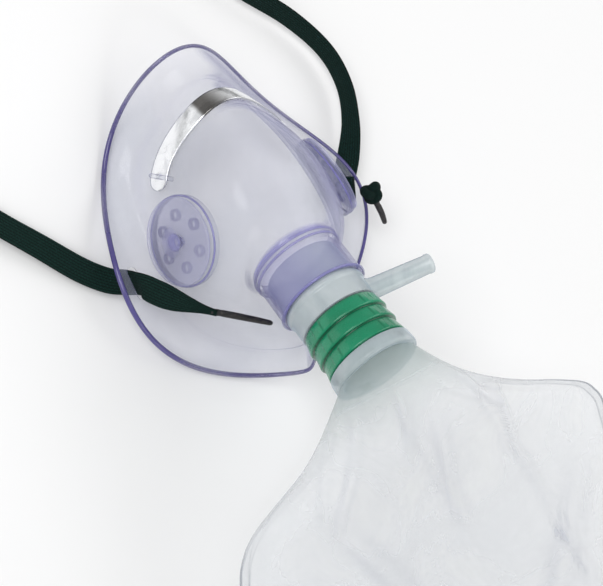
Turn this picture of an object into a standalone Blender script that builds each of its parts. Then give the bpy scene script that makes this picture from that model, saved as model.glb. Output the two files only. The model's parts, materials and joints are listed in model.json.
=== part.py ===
"""High-concentration oxygen mask with a reservoir bag, lying face down.

Metres, +Z up. +Y runs from the chin to the nose, +X to the side of the oxygen nozzle.
The origin is on the table, at the middle of the mask and bag together.
"""

import math

import bpy
import numpy as np
from mathutils import Matrix, Vector

MM = 0.001
ORIGIN = Vector((2.6, 134.5, -0.1)) * MM  # from the origin to the line through the two strap slots

# Mask shell: a thin moulded skin between the rim and the mouth of the turret.
WALL = 1.5 * MM
AROUND, ACROSS = 60, 16
# Each ring is half of a closed curve: points every 30 degrees, from the nose to the chin, in mm.
RIM = ((0, 64, 20.5), (23.2, 52.3, 6.5), (40.9, 25, 4.2), (49.5, -3.7, 12.5), (37.6, -31.5, 4.6), (13, -48.2, 6), (0, -52.5, 14.5))
LIP = ((0, 59, 22.5), (21.5, 48, 9.5), (36, 24.6, 6.4), (42.5, -3.5, 13), (34, -28.5, 6.8), (12.5, -44.5, 8.5), (0, -48.5, 16.5))
FOOT = ((0, 52, 24), (18.5, 42.5, 13), (29.8, 23.5, 9), (34, -3, 11.8), (29.5, -24, 9.5), (12, -39.5, 11.5), (0, -43.5, 18))
FLANK = ((0, 43.5, 31.5), (15, 36.5, 26), (24.8, 20.5, 25), (29, -3, 25.5), (26.5, -20, 20), (13, -32, 18), (0, -35.5, 19.3))
BROW = ((0, 36.5, 42), (11, 30.5, 40.5), (19, 16.5, 41), (23.5, -3.5, 38), (21.5, -17.5, 29.5), (12, -26.5, 22.5), (0, -28.5, 20.8))
CROWN = ((0, 17, 48.8), (9, 13, 48), (15.5, 5, 46.5), (19, -8.5, 39), (16.8, -17, 31), (9.5, -22.5, 24.8), (0, -24, 22))

# Turret, and the axis that the whole connector is turned on.
TURRET_BASE = Vector((0, -13, 36)) * MM
TURRET_R, TURRET_LENGTH = 15.4 * MM, 18 * MM
TILT, LEAN = math.radians(57), math.radians(2.5)  # from the vertical towards the chin, and to the left
AXIS = Vector((-math.sin(LEAN), -math.sin(TILT) * math.cos(LEAN), math.cos(TILT) * math.cos(LEAN)))
SIDE_AXIS = (Vector((1, 0, 0)) - AXIS * AXIS.x).normalized()
UP_AXIS = AXIS.cross(SIDE_AXIS)

# Strap slots, exhalation ports and their discs.
SLOT_AT, SLOT_SIZE = Vector((44, -1, 12)) * MM, Vector((4.2, 12.4, 14)) * MM
PORT_AT, PORT_NORMAL = Vector((30.6, 6.3, 26.3)) * MM, Vector((0.93, 0.2, 0.31)).normalized()
PORT_R, PORT_DEPTH = 14.8 * MM, 4.4 * MM
VENT_R, VENT_RING_R, VENTS = 1.7 * MM, 8.6 * MM, 6
STUD_R, STUD_HEAD_R, STUD_LENGTH, STUD_HEAD = 1.5 * MM, 2.9 * MM, 2.9 * MM, 0.9 * MM
DISC_R, DISC_HOLE_R, DISC_THICKNESS, DISC_GAP = 14.4 * MM, 1.9 * MM, 0.7 * MM, 0.3 * MM

# Nose clip: an aluminium strip bent over the bridge of the nose.
CLIP_HALF_ANGLE, CLIP_WIDTH, CLIP_THICKNESS, CLIP_GAP = math.radians(56), 8 * MM, 0.8 * MM, 0.9 * MM
CLIP_DROP = 0.02  # how far down the wall its ends reach, as a share of the way from rim to turret

# Connector, as distances along the axis from the turret's base.
SPIGOT_START, COLLAR_START, COLLAR_END = 5 * MM, 18.4 * MM, 27 * MM
CUFF_FLANGE, CUFF_END, ADAPTER_END = 43.7 * MM, 48.4 * MM, 46 * MM
BORE_R = 10.6 * MM
NOZZLE_AT, NOZZLE_TURN, NOZZLE_LEAN = 21.9 * MM, math.radians(13.5), math.radians(7)
NOZZLE_ROOT_R, NOZZLE_TIP_R, NOZZLE_BORE_R, NOZZLE_REACH = 3.5 * MM, 3.1 * MM, 1.6 * MM, 36.5 * MM
RING_START, RING_BAND, RING_BANDS = 27.4 * MM, 5.3 * MM, 3
RING_INNER_R, RING_LOW_R, RING_HIGH_R = 13.1 * MM, 13.6 * MM, 14.5 * MM
SEAT_AT = 18.8 * MM

# Reservoir bag: both films lie nearly together, from a round neck down to the table.
NECK_AT, NECK_R = 60 * MM, 10 * MM
BAG_SLOPE = math.radians(14)
BAG_HALF_WIDTH, BAG_LENGTH = 81 * MM, 278 * MM
BAG_FOLD = 1 * MM

STRAP_WIDTH, STRAP_THICKNESS = 8.4 * MM, 1.3 * MM
# The strap's route, from its loose end round to the knot: point in mm from the slot line, then
# how far the band is rolled from lying flat, in degrees.
STRAP_ROUTE = (
    (-29, -19.5, 27.5, -38), (-33, -15.5, 24.5, -36), (-38, -10.5, 21.5, -30), (-42, -5.5, 18.5, -14),
    (-43.8, -2.2, 15.6, -4), (-44, -0.8, 11.5, 0), (-45.5, 0.6, 6.8, 0), (-50, 3.5, 4.2, 0),
    (-57, 10.5, 3.6, 0), (-66, 22, 4, 8), (-76, 34.5, 4.6, 14), (-87, 50, 4.4, 10), (-95.5, 70, 3.4, 4),
    (-94, 92, 3, 0), (-79, 110, 3, 0), (-55, 120, 3.2, 8), (-26, 121, 4, 20), (4, 112, 5, 38),
    (24, 96, 6, 55), (39, 77, 7, 66), (52, 62, 7.6, 72), (60.5, 47, 8, 78), (62.5, 33, 8, 80),
    (59.5, 20, 7.4, 72), (54, 9, 6, 45), (48.5, 2, 5.6, 14), (44.6, -0.2, 8, 0), (43.9, -1.2, 12, 0),
    (44.2, -1.6, 14, 0), (44.8, -2.2, 15.6, 0),
)
KNOT_AT, KNOT_SIZE = Vector((48, -6, 20)) * MM, Vector((5, 4.2, 3.5)) * MM
AGLET_R, LEFT_AGLET_END, RIGHT_AGLET_END = 1.2 * MM, Vector((-12.5, -30.5, 28.5)) * MM, Vector((52.5, -18.5, 13.5)) * MM

COLOURS = {
    "clear_vinyl": ((0.86, 0.87, 0.95, 0.35), 0.12, 0),
    "aluminium": ((0.83, 0.84, 0.86, 1), 0.3, 1),
    "clear_silicone": ((0.9, 0.9, 0.94, 0.6), 0.4, 0),
    "milky_plastic": ((0.84, 0.87, 0.89, 0.8), 0.3, 0),
    "green_plastic": ((0.01, 0.38, 0.19, 1), 0.3, 0),
    "bag_film": ((0.9, 0.91, 0.93, 0.6), 0.35, 0),
    "green_elastic": ((0.01, 0.05, 0.04, 1), 0.9, 0),
    "black_plastic": ((0.02, 0.02, 0.02, 1), 0.35, 0),
}


def clear_scene():
    for obj in list(bpy.data.objects):
        bpy.data.objects.remove(obj)


def collection(name):
    made = bpy.data.collections.new(name)
    bpy.context.scene.collection.children.link(made)
    return made


def material(name):
    if name in bpy.data.materials:
        return bpy.data.materials[name]
    colour, roughness, metallic = COLOURS[name]
    made = bpy.data.materials.new(name)
    made.use_nodes = True
    shader = made.node_tree.nodes["Principled BSDF"]
    shader.inputs["Base Color"].default_value = (*colour[:3], 1)
    shader.inputs["Alpha"].default_value = colour[3]
    shader.inputs["Roughness"].default_value = roughness
    shader.inputs["Metallic"].default_value = metallic
    return made


def add_mesh(name, points, faces, finish, parent):
    mesh = bpy.data.meshes.new(name)
    mesh.from_pydata([tuple(p) for p in points], [], faces)
    mesh.shade_smooth()
    obj = bpy.data.objects.new(name, mesh)
    PARTS.objects.link(obj)
    mesh.materials.append(material(finish))
    obj.parent = parent
    return obj


def as_cutter(obj):
    for group in list(obj.users_collection):
        group.objects.unlink(obj)
    CUTTERS.objects.link(obj)
    obj.hide_render = True
    obj.display_type = "WIRE"
    return obj


def boolean(obj, tool, operation):
    """Cuts tool from obj, or joins it to obj."""
    modifier = obj.modifiers.new(tool.name, "BOOLEAN")
    modifier.operation = operation
    modifier.object = as_cutter(tool)
    obj.modifiers.new("triangles", "TRIANGULATE")


def empty(name, place):
    made = bpy.data.objects.new(name, None)
    PARTS.objects.link(made)
    made.matrix_world = place
    return made


def frame_along(direction, side, place):
    """A placement whose Z is direction and whose X is as near to side as it can be."""
    z = direction.normalized()
    x = (side - side.dot(z) * z).normalized()
    y = z.cross(x)
    turn = Matrix((x, y, z)).transposed().to_4x4()
    return Matrix.Translation(place) @ turn


def grid_faces(rows, columns, closed):
    """Quads of a grid of rows of points; closed joins each row's ends."""
    faces = []
    for i in range(rows - 1):
        for j in range(columns if closed else columns - 1):
            k = (j + 1) % columns
            faces.append((i * columns + j, i * columns + k, (i + 1) * columns + k, (i + 1) * columns + j))
    return faces


def turned(name, profile, finish, parent, segments=36):
    """A ring turned about its parent's Z: profile is (distance along the axis, radius), a closed loop."""
    rows = [(radius, 0, along) for along, radius in profile]
    points = []
    for row in rows:
        for k in range(segments):
            turn = 2 * math.pi * k / segments
            points.append((row[0] * math.cos(turn), row[0] * math.sin(turn), row[2]))
    faces = grid_faces(len(rows) + 1, segments, True)
    count = len(points)
    faces = [tuple(i % count for i in face) for face in faces]
    return add_mesh(name, points, faces, finish, parent)


def cylinder(name, radius, start, end, finish, parent, segments=24, end_radius=None):
    """A solid cylinder or cone along its parent's Z, from start to end."""
    bpy.ops.mesh.primitive_cone_add(
        vertices=segments, radius1=radius, radius2=end_radius or radius, depth=end - start
    )
    obj = bpy.context.object
    obj.name = name
    obj.data.transform(Matrix.Translation((0, 0, (start + end) / 2)))
    for group in list(obj.users_collection):
        group.objects.unlink(obj)
    PARTS.objects.link(obj)
    obj.data.materials.append(material(finish))
    obj.parent = parent
    return obj


# --- The mask's surface --------------------------------------------------------------------


def around(stations, angle):
    """A point of a ring: x is the sum of sines and y and z of cosines through its stations."""
    count = len(stations) - 1
    table = np.array(stations, float) * MM
    steps = np.arange(count + 1)
    ends = np.where((steps == 0) | (steps == count), 0.5, 1.0)
    cosines = np.cos(np.outer(steps, steps) * math.pi / count)
    sines = np.sin(np.outer(steps, steps) * math.pi / count)
    even = 2 / count * cosines @ (table * ends[:, None]) * ends[:, None]
    odd = 2 / count * sines @ table
    angle = np.asarray(angle, float)[..., None]
    x = np.sin(angle * steps) @ odd[:, 0]
    y = np.cos(angle * steps) @ even[:, 1]
    z = np.cos(angle * steps) @ even[:, 2]
    return np.stack([x, y, z], -1)


def turret_ring(angle, along):
    centre = np.array(TURRET_BASE + AXIS * along)
    angle = np.asarray(angle, float)[..., None]
    side, up = np.array(SIDE_AXIS), np.array(UP_AXIS)
    return centre + TURRET_R * (np.sin(angle) * side + np.cos(angle) * up)


def mask_surface(angle, share):
    """The shell's outer face: angle goes round from the nose, share from the rim to the turret's mouth."""
    rings = [around(s, angle) for s in (RIM, LIP, FOOT, FLANK, BROW, CROWN)]
    rings += [turret_ring(angle, d) for d in (0, TURRET_LENGTH * 0.3, TURRET_LENGTH)]
    rings = np.stack(rings)
    place = np.clip(np.asarray(share, float), 0, 1) * (len(rings) - 1)
    k = np.minimum(place.astype(int), len(rings) - 2)
    t = (place - k)[..., None]
    before, after = np.maximum(k - 1, 0), np.minimum(k + 2, len(rings) - 1)
    spot = np.arange(len(np.atleast_1d(angle)))
    a, b, c, d = rings[before, spot], rings[k, spot], rings[k + 1, spot], rings[after, spot]
    return 0.5 * (2 * b + (c - a) * t + (2 * a - 5 * b + 4 * c - d) * t**2 + (3 * b - a - 3 * c + d) * t**3)


def make_shell(mask):
    angles = np.arange(AROUND) * 2 * math.pi / AROUND
    shares = np.linspace(0, 1, ACROSS + 1)
    points = np.concatenate([mask_surface(angles, np.full(AROUND, s)) for s in shares])
    shell = add_mesh("mask_shell", points, grid_faces(ACROSS + 1, AROUND, True), "clear_vinyl", mask)
    shell.data.flip_normals()
    skin = shell.modifiers.new("skin", "SOLIDIFY")
    skin.thickness = WALL
    skin.offset = -1
    shell.modifiers.new("triangles", "TRIANGULATE")
    for side in (-1, 1):
        make_slot(shell, mask, side)
        make_port(shell, mask, side)
    return shell


def make_slot(shell, mask, side):
    bpy.ops.mesh.primitive_cube_add(size=1)
    cutter = bpy.context.object
    cutter.name = f"slot_cutter_{side}"
    cutter.data.transform(Matrix.Diagonal((*SLOT_SIZE, 1)))
    cutter.location = (side * SLOT_AT.x, SLOT_AT.y, SLOT_AT.z)
    cutter.parent = mask
    boolean(shell, cutter, "DIFFERENCE")


def port_frame(side):
    place = Vector((side * PORT_AT.x, PORT_AT.y, PORT_AT.z))
    normal = Vector((side * PORT_NORMAL.x, PORT_NORMAL.y, PORT_NORMAL.z))
    return frame_along(normal, Vector((0, 0, 1)), place)


def make_port(shell, mask, side):
    """A flat boss on the cheek with a ring of vents, and the stud that holds the disc."""
    word = "left" if side < 0 else "right"
    frame = empty(f"{word}_port_frame", port_frame(side))
    frame.parent = mask
    boss = cylinder(f"{word}_port_boss", PORT_R, -PORT_DEPTH, 0, "clear_vinyl", frame, 36)
    boolean(shell, boss, "UNION")
    stud_profile = ((-0.5 * MM, 0), (-0.5 * MM, STUD_R), (STUD_LENGTH - STUD_HEAD, STUD_R))
    stud_profile += ((STUD_LENGTH - STUD_HEAD, STUD_HEAD_R), (STUD_LENGTH, STUD_HEAD_R * 0.7), (STUD_LENGTH, 0))
    boolean(shell, solid_turned(f"{word}_port_stud", stud_profile, "clear_vinyl", frame, 20), "UNION")
    for k in range(VENTS):
        turn = 2 * math.pi * (k + 0.5) / VENTS
        vent = cylinder(f"{word}_vent_{k}", VENT_R, -3 * PORT_DEPTH, 2 * MM, "clear_vinyl", frame, 12)
        vent.location = (VENT_RING_R * math.cos(turn), VENT_RING_R * math.sin(turn), 0)
        boolean(shell, vent, "DIFFERENCE")


def solid_turned(name, profile, finish, parent, segments):
    """A solid turned about its parent's Z, from a profile that starts and ends on the axis."""
    points = [(0, 0, profile[0][0])]
    rows = profile[1:-1]
    for along, radius in rows:
        for k in range(segments):
            turn = 2 * math.pi * k / segments
            points.append((radius * math.cos(turn), radius * math.sin(turn), along))
    points.append((0, 0, profile[-1][0]))
    faces = [tuple(i + 1 for i in face) for face in grid_faces(len(rows), segments, True)]
    last = len(points) - 1
    for k in range(segments):
        following = (k + 1) % segments
        faces.append((0, 1 + following, 1 + k))
        faces.append((last, last - segments + k, last - segments + following))
    return add_mesh(name, points, faces, finish, parent)


def make_disc(mask, side):
    """A soft disc held by the stud, just clear of the boss."""
    word = "left" if side < 0 else "right"
    frame = empty(f"{word}_disc_frame", port_frame(side))
    frame.parent = mask
    low, high = DISC_GAP, DISC_GAP + DISC_THICKNESS
    profile = ((low, DISC_HOLE_R), (low, DISC_R), (high, DISC_R), (high, DISC_HOLE_R))
    return turned(f"{word}_exhalation_disc", profile, "clear_silicone", frame)


def make_nose_clip(mask):
    """The strip follows the wall, a little clear of it, over the bridge and down both sides."""
    steps, wide = 25, 3
    angles = np.linspace(-CLIP_HALF_ANGLE, CLIP_HALF_ANGLE, steps)
    middle = 3 / 8 - CLIP_DROP * (angles / CLIP_HALF_ANGLE) ** 2
    spot = mask_surface(angles, middle)
    up = mask_surface(angles, middle + 0.02) - mask_surface(angles, middle - 0.02)
    along = mask_surface(angles + 0.02, middle) - mask_surface(angles - 0.02, middle)
    out = np.cross(up, along)
    out /= np.linalg.norm(out, axis=1)[:, None]
    out *= np.sign((out * (spot - np.array(TURRET_BASE))).sum(1))[:, None]
    across = np.cross(along, out)
    across /= np.linalg.norm(across, axis=1)[:, None]
    rows = []
    for share in np.linspace(-0.5, 0.5, wide):
        rows.append(spot + across * share * CLIP_WIDTH + out * CLIP_GAP)
    points = np.stack(rows, 1).reshape(-1, 3)
    clip = add_mesh("nose_clip", points, grid_faces(steps, wide, False), "aluminium", mask)
    thick = clip.modifiers.new("thick", "SOLIDIFY")
    thick.thickness = CLIP_THICKNESS
    outward = clip.data.polygons[0].normal.dot(Vector(out[0])) > 0
    thick.offset = 1 if outward else -1
    return clip


# --- Connector, bag and strap --------------------------------------------------------------


def make_adapter(axis):
    wall = 1.2 * MM
    profile = (
        (SPIGOT_START, 12.4 * MM), (SPIGOT_START, 13.1 * MM), (COLLAR_START - 0.1 * MM, 13.4 * MM),
        (COLLAR_START, 13.9 * MM), (COLLAR_START + 1.6 * MM, 14.4 * MM), (COLLAR_START + 2.4 * MM, 13.8 * MM),
        (COLLAR_END, 13.8 * MM), (COLLAR_END, BORE_R + wall), (ADAPTER_END, BORE_R + wall),
        (ADAPTER_END, BORE_R), (COLLAR_END - wall, BORE_R), (COLLAR_START, BORE_R + 0.6 * MM),
    )
    adapter = turned("adapter", profile[::-1], "milky_plastic", axis)
    nozzle = frame_along(nozzle_direction(), Vector((0, 0, 1)), Vector((0, 0, NOZZLE_AT)))
    stem = empty("nozzle_frame", nozzle)
    stem.parent = axis
    tube = cylinder("nozzle_stem", NOZZLE_ROOT_R, 12.2 * MM, NOZZLE_REACH, "milky_plastic", stem, 20, NOZZLE_TIP_R)
    boolean(adapter, tube, "UNION")
    bore = cylinder("nozzle_bore", NOZZLE_BORE_R, 8 * MM, NOZZLE_REACH + 2 * MM, "milky_plastic", stem, 14)
    boolean(adapter, bore, "DIFFERENCE")
    return adapter


def nozzle_direction():
    """In the connector's own frame, whose X is the mask's X and whose Y is up across the axis."""
    level = math.cos(NOZZLE_LEAN)
    return Vector((math.cos(NOZZLE_TURN) * level, math.sin(NOZZLE_TURN) * level, math.sin(NOZZLE_LEAN)))


def make_ring(axis):
    """Three bands, each flaring towards the bag, like the barbs of a hose tail."""
    end = RING_START + RING_BANDS * RING_BAND
    profile = [(RING_START, RING_INNER_R)]
    for band in range(RING_BANDS):
        start = RING_START + band * RING_BAND
        profile += [(start + 0.3 * MM * (band > 0), RING_LOW_R), (start + RING_BAND * 0.85, RING_HIGH_R)]
        profile += [(start + RING_BAND, RING_HIGH_R - 0.2 * MM)]
    profile += [(end, RING_INNER_R)]
    return turned("lock_ring", profile, "green_plastic", axis, 40)


def make_cuff(axis):
    """The bag's own neck: a sleeve under the ring and a flange below it."""
    profile = (
        (COLLAR_END + 0.4 * MM, 12.1 * MM), (COLLAR_END + 0.4 * MM, 12.8 * MM), (CUFF_FLANGE, 12.8 * MM),
        (CUFF_FLANGE, 14.8 * MM), (CUFF_END - 0.8 * MM, 15.1 * MM), (CUFF_END, 14.6 * MM), (CUFF_END, 12.1 * MM),
    )
    return turned("bag_cuff", profile, "milky_plastic", axis)


def make_valve(axis):
    """The inhalation valve: a spoked seat in the bore and a disc on the mask's side of it."""
    seat = turned("inhalation_seat", ((SEAT_AT, 8 * MM), (SEAT_AT, 10.3 * MM), (SEAT_AT + 2 * MM, 10.3 * MM), (SEAT_AT + 2 * MM, 8 * MM)), "milky_plastic", axis)
    for k in range(2):
        bpy.ops.mesh.primitive_cube_add(size=1)
        spoke = bpy.context.object
        spoke.name = f"seat_spoke_{k}"
        spoke.data.transform(Matrix.Diagonal((17 * MM, 1.4 * MM, 1.6 * MM, 1)))
        spoke.data.transform(Matrix.Rotation(k * math.pi / 2, 4, "Z"))
        spoke.location = (0, 0, SEAT_AT + 1 * MM)
        spoke.parent = axis
        boolean(seat, spoke, "UNION")
    stud = ((SEAT_AT + 1.2 * MM, 0), (SEAT_AT + 1.2 * MM, 1.2 * MM), (SEAT_AT - 3.2 * MM, 1.2 * MM))
    stud += ((SEAT_AT - 3.2 * MM, 2.2 * MM), (SEAT_AT - 4.2 * MM, 2.2 * MM), (SEAT_AT - 4.2 * MM, 0))
    boolean(seat, solid_turned("seat_stud", stud[::-1], "milky_plastic", axis, 16), "UNION")
    low, high = SEAT_AT - 1 * MM, SEAT_AT - 0.3 * MM
    profile = ((low, 1.6 * MM), (low, 9.4 * MM), (high, 9.4 * MM), (high, 1.6 * MM))
    return seat, turned("inhalation_disc", profile, "clear_silicone", axis)


def bag_half_width(along):
    """Half the bag's width: a narrow neck that opens over rounded shoulders, then rounded far corners."""
    shoulder = np.clip((along + 18 * MM) / (60 * MM), 0, 1)
    start = np.clip(along / (8 * MM), 0, 1)
    spread = NECK_R + (BAG_HALF_WIDTH - NECK_R) * (3 * shoulder**2 - 2 * shoulder**3) * start
    left = np.clip((BAG_LENGTH - along) / (26 * MM), 0, 1)
    return spread * (0.62 + 0.38 * np.sqrt(1 - (1 - left) ** 2))


def bag_half_thickness(along):
    """Half its thickness: round at the neck, soon flat, and sealed at the far end."""
    flat = np.clip(along / (70 * MM), 0, 1)
    neck = NECK_R + (BAG_FOLD * 1.6 - NECK_R) * (3 * flat**2 - 2 * flat**3)
    left = np.clip((BAG_LENGTH - along) / (60 * MM), 0, 1)
    return np.where(along < 70 * MM, neck, BAG_FOLD * (0.35 + 1.25 * left**0.7))


def make_bag(neck):
    """A closed slab lofted along the neck's Y, with a rounded start that can turn in place."""
    columns = 28
    nose = NECK_R * np.array((0.985, 0.94, 0.86, 0.7, 0.45))
    stations = np.concatenate([-nose, np.linspace(0, 12 * MM, 4), np.linspace(16 * MM, BAG_LENGTH, 32)])
    rows = []
    for along in stations:
        wide = math.sqrt(max(NECK_R**2 - along**2, 0)) if along < 0 else float(bag_half_width(along))
        thick = wide if along < 0 else float(bag_half_thickness(along))
        turn = np.arange(columns) * 2 * math.pi / columns
        rows.append(np.stack([wide * np.cos(turn), np.full(columns, along), thick * np.sin(turn)], 1))
    points = np.concatenate(rows)
    faces = grid_faces(len(rows), columns, True)
    faces.append(tuple(range(columns))[::-1])
    faces.append(tuple(range(len(points) - columns, len(points))))
    bag = add_mesh("reservoir_bag", points, faces, "bag_film", neck)
    bag.data.flip_normals()
    return bag


def smooth_route(points, spacing):
    """Points read from a smooth curve through the given ones, about spacing apart."""
    table = np.array(points, float)
    padded = np.vstack([2 * table[0] - table[1], table, 2 * table[-1] - table[-2]])
    fine = []
    for k in range(1, len(padded) - 2):
        a, b, c, d = padded[k - 1 : k + 3]
        for t in np.arange(0, 1, 0.05):
            fine.append(0.5 * (2 * b + (c - a) * t + (2 * a - 5 * b + 4 * c - d) * t**2 + (3 * b - a - 3 * c + d) * t**3))
    fine = np.array(fine + [table[-1]])
    steps = np.concatenate([[0], np.cumsum(np.linalg.norm(np.diff(fine[:, :3], axis=0), axis=1))])
    wanted = np.linspace(0, steps[-1], int(steps[-1] / spacing) + 1)
    return np.stack([np.interp(wanted, steps, fine[:, k]) for k in range(fine.shape[1])], 1)


def band_width_directions(route, rolls):
    """Across the band at each point: level and square to the route where it lies, rolled about it elsewhere."""
    along = np.gradient(route, axis=0)
    along /= np.linalg.norm(along, axis=1)[:, None]
    flat = along.copy()
    flat[:, 2] = 0
    # Where the band climbs through a slot it keeps the heading of the slot's own side.
    steep = np.abs(along[:, 2]) > 0.75
    side = np.stack([-flat[:, 1], flat[:, 0], np.zeros(len(flat))], 1)
    slot_way = np.stack([np.zeros(len(flat)), -np.sign(route[:, 0]), np.zeros(len(flat))], 1)
    slotted = (np.abs(np.abs(route[:, 0]) - SLOT_AT.x) < 4.5 * MM) & (np.abs(route[:, 1]) < 6 * MM)
    side = np.where((steep | slotted)[:, None], -slot_way, side)
    side /= np.linalg.norm(side, axis=1)[:, None]
    for _ in range(3):
        side[1:-1] = (side[:-2] + side[1:-1] + side[2:]) / 3
    side -= (side * along).sum(1)[:, None] * along
    side /= np.linalg.norm(side, axis=1)[:, None]
    up = np.cross(along, side)
    return side * np.cos(rolls)[:, None] + up * np.sin(rolls)[:, None], along


def make_strap(mask):
    table = np.array(STRAP_ROUTE, float)
    table[:, :3] *= MM
    table[:, 3] = np.radians(table[:, 3])
    path = smooth_route(table, 5 * MM)
    side, along = band_width_directions(path[:, :3], path[:, 3])
    out = np.cross(along, side)
    half, thick = STRAP_WIDTH / 2, STRAP_THICKNESS / 2
    corners = ((-half, -thick), (half, -thick), (half, thick), (-half, thick))
    rows = np.stack([path[:, :3] + side * u + out * v for u, v in corners], 1)
    points = rows.reshape(-1, 3)
    faces = grid_faces(len(rows), 4, True)
    faces.append((3, 2, 1, 0))
    faces.append(tuple(range(len(points) - 4, len(points))))
    return add_mesh("strap", points, faces, "green_elastic", mask)


def make_strap_ends(mask):
    start, after = (Vector(p[:3]) * MM for p in STRAP_ROUTE[:2])
    outward = (start - after).normalized()
    left = frame_along(LEFT_AGLET_END - start, Vector((0, 0, 1)), start + outward * 0.6 * MM)
    frame = empty("left_aglet_frame", left)
    frame.parent = mask
    cylinder("left_aglet", AGLET_R, 0.3 * MM, (LEFT_AGLET_END - start).length, "black_plastic", frame, 14)
    bpy.ops.mesh.primitive_uv_sphere_add(segments=16, ring_count=10, radius=1)
    knot = bpy.context.object
    knot.name = "strap_knot"
    knot.data.transform(Matrix.Diagonal((*KNOT_SIZE, 1)))
    for group in list(knot.users_collection):
        group.objects.unlink(knot)
    PARTS.objects.link(knot)
    knot.location = KNOT_AT
    knot.parent = mask
    knot.data.materials.append(material("green_elastic"))
    right = frame_along(RIGHT_AGLET_END - KNOT_AT, Vector((0, 0, 1)), KNOT_AT)
    frame = empty("right_aglet_frame", right)
    frame.parent = mask
    cylinder("right_aglet", AGLET_R, 5 * MM, (RIGHT_AGLET_END - KNOT_AT).length, "black_plastic", frame, 14)


def build():
    mask = empty("mask_frame", Matrix.Identity(4))
    make_shell(mask)
    make_nose_clip(mask)
    for side in (-1, 1):
        make_disc(mask, side)
    axis = empty("connector_axis", frame_along(AXIS, Vector((1, 0, 0)), TURRET_BASE))
    axis.parent = mask
    make_adapter(axis)
    make_ring(axis)
    make_cuff(axis)
    make_valve(axis)
    # The bag's own Y runs down its length and its Z is the upper film's normal.
    turn = Matrix.Rotation(math.pi, 4, "Z") @ Matrix.Rotation(-BAG_SLOPE, 4, "X")
    neck = empty("bag_neck", Matrix.Translation(TURRET_BASE + AXIS * NECK_AT) @ turn)
    neck.parent = mask
    make_bag(neck)
    make_strap(mask)
    make_strap_ends(mask)
    mask.location = ORIGIN


clear_scene()
PARTS = collection("oxygen_mask")
CUTTERS = collection("cutters")
build()
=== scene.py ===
"""High-concentration oxygen mask with a reservoir bag: the surfaces and finishes built around its CAD frame.

The mask lies face down. Its strap slots, connector and bag are placed from the frame's joints, so the
pieces follow the frame. Sizes are in metres; coordinate tables are in millimetres from the slot line.
"""

import json
import math

import bmesh
import bpy
import numpy as np
from mathutils import Matrix, Vector


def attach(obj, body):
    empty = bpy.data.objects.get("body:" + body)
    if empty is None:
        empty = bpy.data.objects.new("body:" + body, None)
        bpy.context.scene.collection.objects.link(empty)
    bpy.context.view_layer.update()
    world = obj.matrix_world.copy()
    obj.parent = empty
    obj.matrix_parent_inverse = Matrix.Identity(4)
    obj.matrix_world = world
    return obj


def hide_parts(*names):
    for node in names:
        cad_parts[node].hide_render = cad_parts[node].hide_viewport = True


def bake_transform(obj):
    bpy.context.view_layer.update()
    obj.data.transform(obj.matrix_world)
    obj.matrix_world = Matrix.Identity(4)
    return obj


bl_info = {
    "name": "Oxygen mask with reservoir bag",
    "version": (1, 0, 0),
    "blender": (4, 5, 0),
    "location": "View3D > Sidebar > Oxygen mask",
    "description": "Builds the soft shell, connector, film bag and strap of a high-concentration oxygen mask",
    "category": "Object",
}

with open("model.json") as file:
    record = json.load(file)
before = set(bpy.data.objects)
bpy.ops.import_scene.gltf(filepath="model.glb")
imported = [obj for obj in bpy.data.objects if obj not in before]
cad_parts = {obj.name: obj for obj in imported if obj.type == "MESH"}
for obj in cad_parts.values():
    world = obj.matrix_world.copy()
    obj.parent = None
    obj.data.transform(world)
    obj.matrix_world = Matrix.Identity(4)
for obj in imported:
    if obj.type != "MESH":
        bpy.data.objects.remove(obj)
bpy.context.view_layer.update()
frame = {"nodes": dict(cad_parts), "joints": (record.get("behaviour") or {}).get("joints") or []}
JOINTS = {joint["name"]: joint for joint in frame["joints"]}

MM = 0.001

# --- Places taken from the frame ---------------------------------------------------------------

AXIS = np.array(JOINTS["connector_swivel"]["axis"], float)
AXIS /= np.linalg.norm(AXIS)
SIDE_AXIS = np.array((1.0, 0, 0)) - AXIS * AXIS[0]
SIDE_AXIS /= np.linalg.norm(SIDE_AXIS)
UP_AXIS = np.cross(AXIS, SIDE_AXIS)
TURRET_BASE = np.array(JOINTS["connector_swivel"]["pos_m"], float)
SLOT_LINE = TURRET_BASE - np.array((0, -13, 36)) * MM  # the middle of the line through both strap slots
BAG_PIVOT = np.array(JOINTS["bag_neck_bend"]["pos_m"], float)

# --- Mask shell: half rings, a point every 30 degrees from the nose to the chin -------------------

RIM = (
    (0, 64, 20.5), (23.2, 52.3, 6.5), (40.9, 25, 4.2), (49.5, -3.7, 12.5), (37.6, -31.5, 4.6), (13, -48.2, 6),
    (0, -52.5, 14.5),
)
LIP = (
    (0, 59, 22.5), (21.5, 48, 9.5), (36, 24.6, 6.4), (42.5, -3.5, 13), (34, -28.5, 6.8), (12.5, -44.5, 8.5),
    (0, -48.5, 16.5),
)
FOOT = (
    (0, 52, 24), (18.5, 42.5, 13), (29.8, 23.5, 9), (34, -3, 11.8), (29.5, -24, 9.5), (12, -39.5, 11.5),
    (0, -43.5, 18),
)
FLANK = (
    (0, 43.5, 31.5), (15, 36.5, 26), (24.8, 20.5, 25), (29, -3, 25.5), (26.5, -20, 20), (13, -32, 18),
    (0, -35.5, 19.3),
)
BROW = (
    (0, 36.5, 42), (11, 30.5, 40.5), (19, 16.5, 41), (23.5, -3.5, 38), (21.5, -17.5, 29.5), (12, -26.5, 22.5),
    (0, -28.5, 20.8),
)
CROWN = (
    (0, 17, 48.8), (9, 13, 48), (15.5, 5, 46.5), (19, -8.5, 39), (16.8, -17, 31), (9.5, -22.5, 24.8), (0, -24, 22),
)
TURRET_R, TURRET_LENGTH = 15.4 * MM, 18 * MM
TURRET_SHARE = 6 / 8  # the shell's share, from rim to mouth, at which the turret starts
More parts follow.
